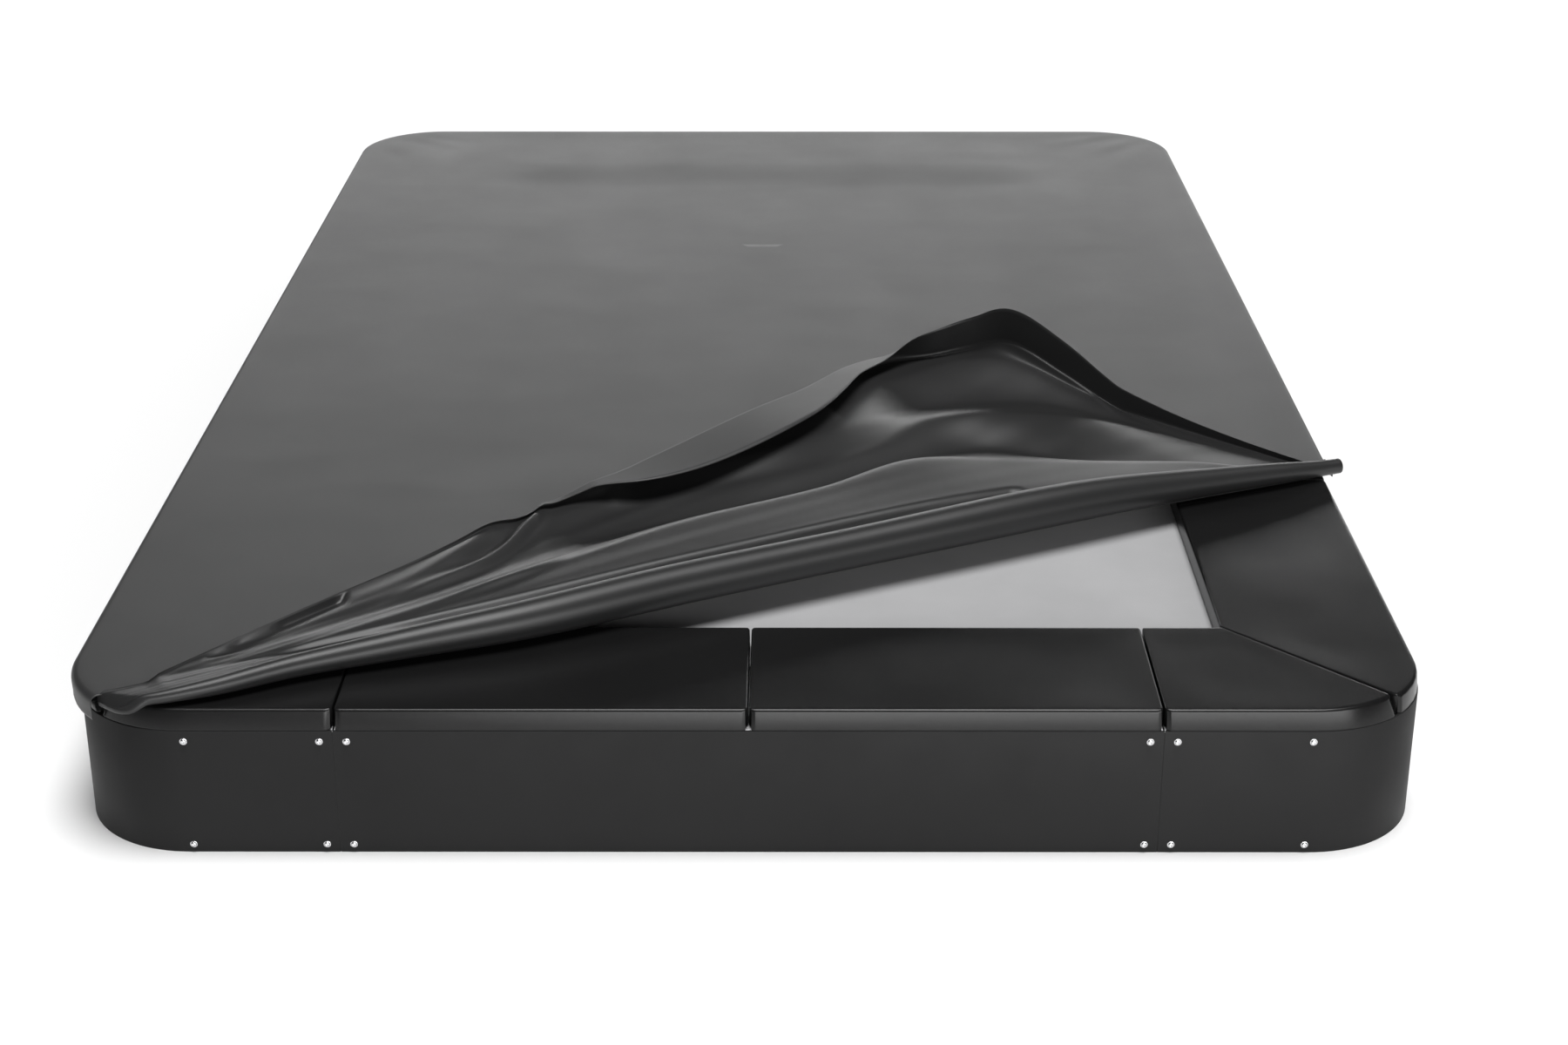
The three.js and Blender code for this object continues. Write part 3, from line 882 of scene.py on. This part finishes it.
def closing_faces(last, count):
    """Faces that close the innermost ring, which starts at point last, across the cover's middle."""
    half, quarter = count // 2, count // 4
    faces = []
    for k in range(-quarter, quarter):
        near = (last + k % count, last + (k + 1) % count)
        far = (last + (half - k - 1) % count, last + (half - k) % count)
        faces.append(tuple(dict.fromkeys(near + far)))
    return faces


def add_cover():
    outline = cover_outline()
    count = len(outline)
    points = cover_rings(outline)
    faces = ring_faces(len(points) // count, count) + closing_faces(len(points) - count, count)
    piece = new_piece("cover_main", points, faces, ["cover", "lining"])
    cut_in_front_of_crease(piece)
    merge_close(piece, 0.0003)
    thicken(piece, CLOTH)
    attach(piece, "cover")
    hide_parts("cover_sheet", "cover_skirt")


def skirt_hang(x, y):
    """Share of its drop that the skirt keeps: the fold lifts it at the right end of the crease."""
    u, w = crease_place(x, y)
    return 0.15 + 0.85 * float(smoothstep(w / 0.14)) if u > CREASE_LENGTH / 2 else 1.0


def cut_in_front_of_crease(piece):
    shape = bmesh.new()
    shape.from_mesh(piece.data)
    bmesh.ops.bisect_plane(
        shape,
        geom=shape.verts[:] + shape.edges[:] + shape.faces[:],
        plane_co=(*CREASE_START, 0),
        plane_no=(*BACK, 0),
        clear_inner=True,
    )
    shape.to_mesh(piece.data)
    shape.free()


# The folded corner. Every place is (u along the crease, w back from it), every height is above the
# lying sheet. Its outline is the closed corner's outline reflected in the crease.


def flap_outline():
    """u and w of the reflected outline, from the left end of the crease to the right end."""
    line = corner_arc(-1, -1, 45, 90, 14)
    line += corner_arc(1, -1, 90, 0, 25)
    line += [(HALF_X, -(HALF_Y - CORNER_R) + t, 1, 0) for t in np.linspace(0.05, 1.14, 12)]
    line = np.array(line)
    u, w = crease_place(line[:, 0], line[:, 1])
    # up to this u the left end is pulled together by the crease
    pulled_to = 0.443
    pulled = 0.262 - (pulled_to - u) * 0.79 - 0.2 * np.maximum(0, 0.2 - u)
    return u, np.where(u < pulled_to, np.minimum(-w, pulled), -w)


# The fold's shape along the crease, as (u, value)
ROLL_RADIUS = [
    (0, 0.004), (0.1, 0.012), (0.25, 0.020), (0.5, 0.028), (1.0, 0.046), (1.8, 0.050),
    (2.6, 0.049), (2.85, 0.038), (3.1, 0.028), (3.3, 0.020),
]
ROLL_MIDDLE = [
    (0, 0.0), (0.05, -0.072), (0.12, -0.090), (0.23, -0.100), (0.45, -0.082), (0.7, -0.088),
    (0.95, -0.098), (1.4, -0.063), (2.1, -0.023), (2.75, 0.008), (3.28, 0.0),
]
# Height at which the sheet bends into its skirt
BEND_HEIGHT = [
    (0, 0.004), (0.45, 0.018), (0.9, 0.022), (1.15, 0.020), (1.4, 0.060), (1.65, 0.076),
    (2.0, 0.090), (2.25, 0.076), (2.5, 0.040), (2.67, 0.040), (2.75, 0.066), (2.83, 0.106),
    (2.9, 0.064), (2.97, 0.012), (3.28, 0.004),
]
SKIRT_LENGTH = [
    (0, 0.004), (1.0, 0.007), (1.2, 0.010), (1.35, 0.034), (1.55, 0.130), (1.75, 0.180),
    (2.0, 0.190), (2.2, 0.140), (2.35, 0.090), (2.6, 0.084), (2.75, 0.095), (2.9, 0.092),
    (3.05, 0.036), (3.28, 0.012),
]
# Direction of the skirt from the bend, in degrees: 0 is level and away from the crease, 90 is up and
# near 180 it hangs forward over the flap
SKIRT_ANGLE = [
    (0, 60), (1.05, 90), (1.2, 165), (1.4, 177), (2.1, 177), (2.3, 174), (2.45, 166), (2.6, 120),
    (2.8, 93), (2.9, 85), (3.28, 70),
]
# Valleys and ridges that run out of the left end of the crease, from the rolled edge to the hem, as
# (u, w, height)
FOLD_LINES = [
    [
        (0.3, 0.020, 0.008), (0.9, 0.010, 0.030), (1.5, 0.028, 0.046), (2.3, 0.045, 0.050),
        (2.85, 0.045, 0.034), (3.2, 0.020, 0.008),
    ],
    [
        (0.3, 0.035, 0.010), (0.9, 0.026, 0.048), (1.5, 0.046, 0.074), (2.3, 0.066, 0.084),
        (2.85, 0.062, 0.052), (3.2, 0.030, 0.012),
    ],
    [
        (0.3, 0.060, 0.010), (0.7, 0.090, 0.030), (1.1, 0.130, 0.060), (1.5, 0.215, 0.082),
        (1.9, 0.256, 0.093), (2.2, 0.311, 0.104), (2.4, 0.260, 0.088), (2.6, 0.190, 0.074),
        (2.9, 0.121, 0.050), (3.2, 0.050, 0.014),
    ],
    [
        (0.3, 0.080, 0.004), (0.63, 0.155, 0.006), (0.93, 0.240, 0.008), (1.25, 0.330, 0.010),
        (1.9, 0.400, 0.012), (2.3, 0.490, 0.012), (2.5, 0.480, 0.010), (2.65, 0.320, 0.014),
        (2.8, 0.240, 0.014), (3.2, 0.090, 0.006),
    ],
    [
        (0.3, 0.110, 0.005), (1.0, 0.330, 0.008), (1.27, 0.400, 0.018), (1.55, 0.480, 0.032),
        (1.9, 0.505, 0.038), (2.17, 0.561, 0.042), (2.4, 0.660, 0.058), (2.6, 0.620, 0.062),
        (2.8, 0.520, 0.046), (3.0, 0.360, 0.012), (3.2, 0.120, 0.006),
    ],
    [
        (0.3, 0.130, 0.004), (1.0, 0.440, 0.006), (1.25, 0.500, 0.032), (1.5, 0.560, 0.052),
        (1.95, 0.620, 0.068), (2.25, 0.740, 0.056), (2.45, 0.820, 0.022), (2.6, 0.800, 0.020),
        (2.8, 0.700, 0.020), (2.95, 0.520, 0.010), (3.2, 0.140, 0.006),
    ],
    [
        (0.3, 0.145, 0.005), (1.0, 0.480, 0.007), (1.2, 0.620, 0.030), (1.5, 0.700, 0.050),
        (2.0, 0.860, 0.066), (2.25, 0.920, 0.060), (2.5, 1.000, 0.056), (2.65, 1.030, 0.066),
        (2.82, 0.930, 0.072), (2.95, 0.690, 0.020), (3.2, 0.150, 0.008),
    ],
]
# Short ridges that turn to the hem on the left, by their half width
SHORT_RIDGES = {
    0.050: [
        (0.3, 0.08, 0.0), (0.64, 0.198, 0.016), (0.885, 0.312, 0.022), (1.0, 0.393, 0.024),
        (1.1, 0.49, 0.018), (1.2, 0.58, 0.0),
    ],
    0.024: [
        (0.6, 0.15, 0.0), (0.865, 0.24, 0.012), (1.08, 0.365, 0.018), (1.18, 0.467, 0.018),
        (1.3, 0.58, 0.0),
    ],
    0.026: [(0.35, 0.03, 0.0), (0.7, 0.055, 0.006), (1.1, 0.155, 0.008), (1.35, 0.27, 0.0)],
}
FOLD_SPACING = 0.008  # least distance between two fold lines
HEM_SPACING = 0.012  # least distance from a fold line to the bend
LEAST_HEIGHT = 0.004  # of the fold over the lying sheet
FOLD_POINTS = 110  # across the fold, from its rolled edge to the bend
SKIRT_RADIUS = 0.012  # of the bend into the skirt
GATHERED = 0.095  # how much nearer the hem is where the fold is drawn together
LEAST_REACH = 0.055  # of the hem at the right end
CORNER_HANG = 0.018  # of the left end over the rounded corner


def along(knots, u, column):
    """The w (column 1) or the height (column 2) of a fold line at u."""
    return float(smooth_through([(knot[0], knot[column]) for knot in knots], u))


def fold_height(u, w, start, reach):
    """Height of the folded-back sheet over the lying one, from its rolled edge to the bend."""
    places, heights = [start[0]], [start[1]]
    for knots in FOLD_LINES:
        place = along(knots, u, 1)
        if places[-1] + FOLD_SPACING < place < reach - HEM_SPACING:
            places.append(place)
            heights.append(along(knots, u, 2))
    places.append(reach)
    heights.append(float(smooth_through(BEND_HEIGHT, u)))
    places, heights = np.array(places), np.array(heights)
    i = np.clip(np.searchsorted(places, w, side="right") - 1, 0, len(places) - 2)
    t = (w - places[i]) / (places[i + 1] - places[i])
    eased = np.where(i == len(places) - 2, t * t * (1.6 - 0.6 * t), smoothstep(t))
    height = heights[i] + (heights[i + 1] - heights[i]) * (0.5 * eased + 0.5 * t)
    for width, knots in SHORT_RIDGES.items():
        off = (w - along(knots, u, 1)) / width
        height = height + max(0, along(knots, u, 2)) * np.exp(-off * off)
    # fine wrinkles that fan out from a point beyond the left end of the crease
    fan = np.arctan2(w + 0.10, u + 0.30)
    far_out = np.hypot(w + 0.10, u + 0.30)
    fine = wave(fan * 16, far_out * 0.8, 4.2) * 0.0035 + wave(fan * 45, far_out * 1.1, 8.8) * 0.0016
    quiet = smoothstep((w - start[0]) / 0.06) * smoothstep((reach - w) / 0.10)
    return np.maximum(LEAST_HEIGHT, height + fine * quiet)


def rolled_edge(middle, radius):
    """(w, height) from the crease forward and round the roll to its back."""
    line = [(0.0, 0.0), (middle * 0.5, 0.0)]
    for angle in np.radians(np.linspace(-90, -330, 24)):
        line.append((middle + radius * math.cos(angle), radius + radius * math.sin(angle)))
    return line


def evened(heights):
    """Heights averaged with their neighbours, apart from two at each end."""
    kernel = np.array([1, 2, 3, 2, 1]) / 9
    middle = np.convolve(heights, kernel, "valid")
    return np.concatenate([heights[:2], middle, heights[-2:]])


def skirt_line(w, height, length, angle):
    """(w, height) round the bend at the end of the fold and down the skirt, at an angle in radians."""
    radius = min(SKIRT_RADIUS, length * 0.3)
    steps = 10
    line = []
    for step in range(1, steps + 1):
        heading = angle * step / steps
        w += math.cos(heading) * radius * angle / steps
        height += math.sin(heading) * radius * angle / steps
        line.append((w, height))
    for distance in np.linspace(0, length - radius * 0.5, 9)[1:]:
        line.append((w + math.cos(angle) * distance, height + math.sin(angle) * distance))
    return line


def flap_station(u, reach):
    """One line of (w, height) across the fold, from the crease to the hem."""
    middle = float(smooth_through(ROLL_MIDDLE, u))
    reach = max(reach, middle + HEM_SPACING)
    radius = min(float(smooth_through(ROLL_RADIUS, u)), (reach - middle) * 0.45)
    line = rolled_edge(middle, radius)
    start = line[-1]
    w = np.linspace(start[0], max(reach, start[0] + 0.004), FOLD_POINTS)[1:]
    line += list(zip(w, evened(fold_height(u, w, start, w[-1]))))
    length = float(smooth_through(SKIRT_LENGTH, u))
    angle = math.radians(float(smooth_through(SKIRT_ANGLE, u)))
    return line + skirt_line(*line[-1], length, angle)


def corner_drop(x, y):
    """How far the sheet hangs down where it passes over the rounded front left corner."""
    dx, dy = x + HALF_X - CORNER_R, y + HALF_Y - CORNER_R
    if dx > 0 or dy > 0:
        return 0.0
    beyond = math.hypot(dx, dy) - (CORNER_R - 0.015)
    return CORNER_HANG * float(smoothstep(beyond / 0.028))


def flap_stations(edge_u, edge_w):
    """Places along the crease, evenly spaced along the outline, and two past the cover's side."""
    run = np.concatenate([[0], np.cumsum(np.hypot(np.diff(edge_u), np.diff(edge_w)))])
    stations = np.interp(np.linspace(0, run[-1], 240), run, edge_u)
    stations = stations[(stations > 0.004) & (stations < CREASE_LENGTH)]
    return np.append(stations, [CREASE_LENGTH + 0.006, CREASE_LENGTH + 0.012])


def flap_reach(u, edge_u, edge_w):
    """How far back the fold's hem lies: on the outline, but nearer where the fold is gathered."""
    gathered = smoothstep((u - 1.15) / 0.35) * smoothstep((2.45 - u) / 0.4)
    least = LEAST_REACH * smoothstep((u - 2.7) / 0.3)
    return float(max(least, np.interp(u, edge_u, edge_w) - GATHERED * gathered))


def add_flap():
    edge_u, edge_w = flap_outline()
    stations = flap_stations(edge_u, edge_w)
    points = []
    for u in stations:
        for w, h in flap_station(u, flap_reach(u, edge_u, edge_w)):
            x, y = plan_place(u, w)
            points.append((x, y, COVER_TOP + h - corner_drop(x, y)))
    columns = len(points) // len(stations)
    faces = grid_faces(len(stations), columns, flip=True)
    piece = new_piece("cover_corner", points, faces, ["lining", "cover"])
    thicken(piece, CLOTH)
    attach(piece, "cover_corner")
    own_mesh(piece)
    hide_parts("cover_corner_flap")


def finish_frame_nodes():
    """The rails and posts keep their CAD shape and get zinc."""
    for name, node in frame["nodes"].items():
        if name.startswith(("top_rail", "base_rail", "post_")):
            node.data.materials.clear()
            node.data.materials.append(MATERIALS["zinc"])


add_camera()
add_stage()
add_lights()
finish_frame_nodes()
add_panels()
add_seams()
add_screws()
add_pads()
add_springs()
add_bed()
add_cover()
add_flap()
